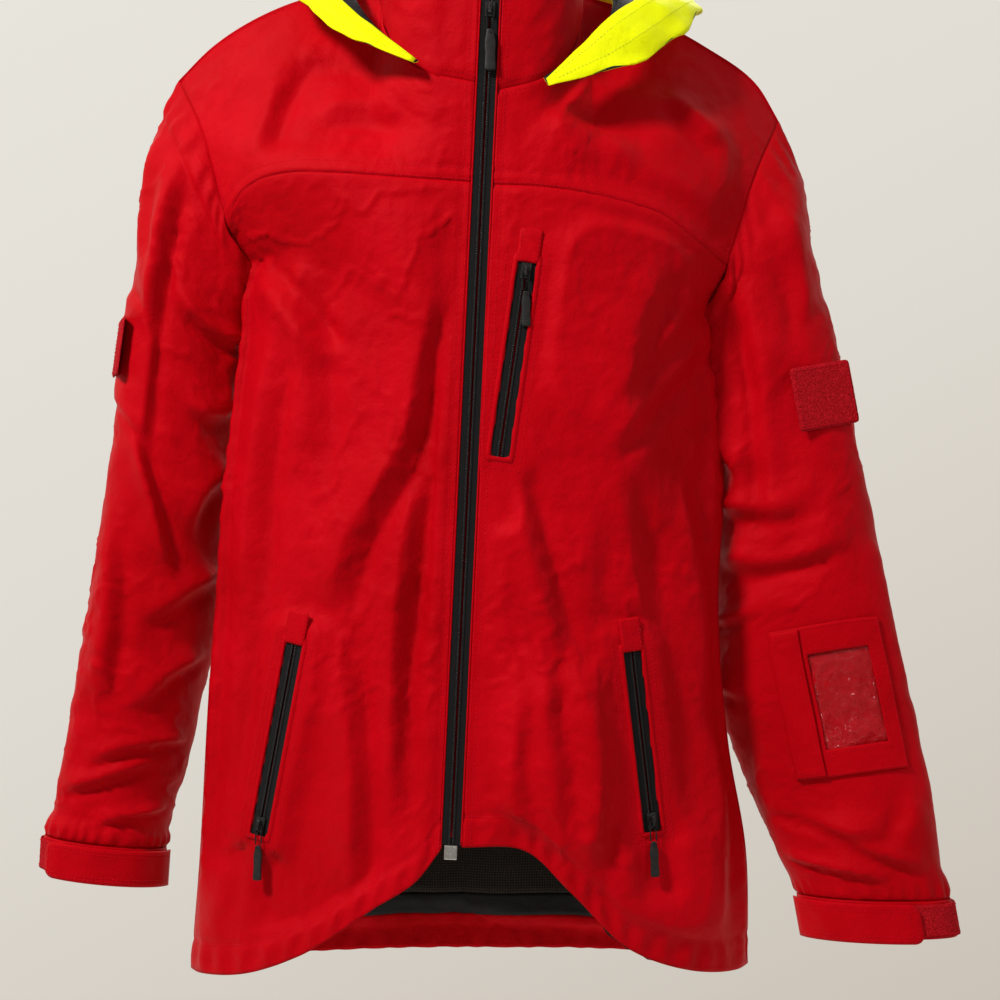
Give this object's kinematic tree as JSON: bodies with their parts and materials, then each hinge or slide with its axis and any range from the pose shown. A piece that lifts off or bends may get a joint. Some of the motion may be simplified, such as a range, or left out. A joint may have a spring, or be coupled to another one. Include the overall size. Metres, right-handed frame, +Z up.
{
  "type": "foul weather jacket",
  "caption": "Hip-length waterproof sailing jacket hanging from its loop, with front zip, stand collar, hanging hood, zipped pockets, hook-and-loop cuffs and a clear card pocket on a sleeve",
  "frame": {"origin": "where the hanger loop inside the back neck rests on a hook", "axes": "+Z up, front faces -Y, the wearer's left is +X"},
  "size_m": [0.8105, 0.213, 0.9464],
  "materials": {
    "shell_red": "matte",
    "hood_yellow": "matte",
    "lining_black": "matte",
    "mesh_black": "matte",
    "zip_tape": "matte",
    "slider_metal": "satin",
    "box_metal": "satin",
    "pull_rubber": "matte",
    "loop_red": "matte",
    "window_film": "gloss"
  },
  "bodies": {
    "jacket_body": {"front_panel_right": "shell_red", "front_panel_left": "shell_red", "front_yoke_right": "shell_red", "front_yoke_left": "shell_red", "back_panel": "shell_red", "back_yoke": "shell_red", "collar_shell": "shell_red", "collar_lining": "lining_black", "hood_shell": "hood_yellow", "hood_lining": "lining_black", "hanger_loop": "lining_black", "inner_placket": "shell_red", "main_zip_tape_right": "zip_tape", "main_zip_tape_left": "zip_tape", "main_zip_box": "box_metal", "lining_back": "mesh_black", "lining_front_right": "mesh_black", "lining_front_left": "mesh_black", "hem_tape_back": "lining_black", "hem_facing_back": "shell_red", "chest_zip_tape_right": "zip_tape", "chest_zip_tape_left": "zip_tape", "chest_zip_garage": "shell_red", "chest_pocket_bag": "mesh_black", "hand_right_zip_tape_right": "zip_tape", "hand_right_zip_tape_left": "zip_tape", "hand_right_zip_garage": "shell_red", "hand_right_pocket_bag": "mesh_black", "hand_left_zip_tape_right": "zip_tape", "hand_left_zip_tape_left": "zip_tape", "hand_left_zip_garage": "shell_red", "hand_left_pocket_bag": "mesh_black"},
    "sleeve_right_body": {"sleeve_right": "shell_red", "cuff_band_right": "shell_red", "cuff_loop_strip_right": "loop_red", "badge_patch_right": "loop_red"},
    "sleeve_left_body": {"sleeve_left": "shell_red", "cuff_band_left": "shell_red", "cuff_loop_strip_left": "loop_red", "badge_patch_left": "loop_red", "id_pocket_frame": "shell_red", "id_window": "window_film"},
    "cuff_tab_right_body": {"cuff_tab_right": "shell_red"},
    "cuff_tab_left_body": {"cuff_tab_left": "shell_red"},
    "id_flap_body": {"id_pocket_flap": "shell_red"},
    "main_slider_body": {"main_zip_slider": "slider_metal"},
    "main_pull_body": {"main_zip_link": "pull_rubber", "main_zip_grip": "pull_rubber"},
    "chest_slider_body": {"chest_zip_slider": "slider_metal"},
    "chest_pull_body": {"chest_zip_link": "pull_rubber", "chest_zip_grip": "pull_rubber"},
    "hand_right_slider_body": {"hand_right_zip_slider": "slider_metal"},
    "hand_right_pull_body": {"hand_right_zip_link": "pull_rubber", "hand_right_zip_grip": "pull_rubber"},
    "hand_left_slider_body": {"hand_left_zip_slider": "slider_metal"},
    "hand_left_pull_body": {"hand_left_zip_link": "pull_rubber", "hand_left_zip_grip": "pull_rubber"}
  },
  "joints": [
    {"name": "main_slide", "type": "slide", "parent": "jacket_body", "child": "main_slider_body", "axis": [0.0465, 0.0205, 0.9987], "range_m": [-0.7, 0]},
    {"name": "main_pull", "type": "hinge", "parent": "main_slider_body", "child": "main_pull_body", "pos_m": [0.0106, -0.1077, -0.0369], "axis": [-1, 0, 0], "range_deg": [0, 150]},
    {"name": "chest_slide", "type": "slide", "parent": "jacket_body", "child": "chest_slider_body", "axis": [0.1414, 0.0153, 0.9898], "range_m": [-0.148, 0]},
    {"name": "chest_pull", "type": "hinge", "parent": "chest_slider_body", "child": "chest_pull_body", "pos_m": [0.041, -0.1137, -0.2598], "axis": [-0.9994, 0.0339, 0], "range_deg": [0, 150]},
    {"name": "hand_right_slide", "type": "slide", "parent": "jacket_body", "child": "hand_right_slider_body", "axis": [0.1868, -0.0576, 0.9807], "range_m": [0, 0.15]},
    {"name": "hand_right_pull", "type": "hinge", "parent": "hand_right_slider_body", "child": "hand_right_pull_body", "pos_m": [-0.1875, -0.0885, -0.7321], "axis": [-0.913, 0.4079, 0], "range_deg": [0, 150]},
    {"name": "hand_left_slide", "type": "slide", "parent": "jacket_body", "child": "hand_left_slider_body", "axis": [-0.1139, -0.0085, 0.9935], "range_m": [0, 0.137]},
    {"name": "hand_left_pull", "type": "hinge", "parent": "hand_left_slider_body", "child": "hand_left_pull_body", "pos_m": [0.149, -0.1016, -0.727], "axis": [-0.9336, -0.3584, 0], "range_deg": [0, 150]},
    {"name": "sleeve_right_swing", "type": "hinge", "parent": "jacket_body", "child": "sleeve_right_body", "pos_m": [-0.268, -0.006, -0.08], "axis": [0, 1, 0], "range_deg": [0, 40]},
    {"name": "sleeve_left_swing", "type": "hinge", "parent": "jacket_body", "child": "sleeve_left_body", "pos_m": [0.268, -0.006, -0.116], "axis": [0, -1, 0], "range_deg": [0, 40]},
    {"name": "cuff_tab_right_peel", "type": "hinge", "parent": "sleeve_right_body", "child": "cuff_tab_right_body", "pos_m": [-0.2763, -0.0045, -0.7817], "axis": [0.0665, 0, 0.9978], "range_deg": [0, 75]},
    {"name": "cuff_tab_left_peel", "type": "hinge", "parent": "sleeve_left_body", "child": "cuff_tab_left_body", "pos_m": [0.2826, -0.0148, -0.8228], "axis": [0.1789, 0, -0.9839], "range_deg": [0, 75]},
    {"name": "id_flap_lift", "type": "hinge", "parent": "sleeve_left_body", "child": "id_flap_body", "pos_m": [0.2671, -0.0447, -0.6368], "axis": [0.1296, 0.0117, -0.9915], "range_deg": [0, 110]}
  ]
}
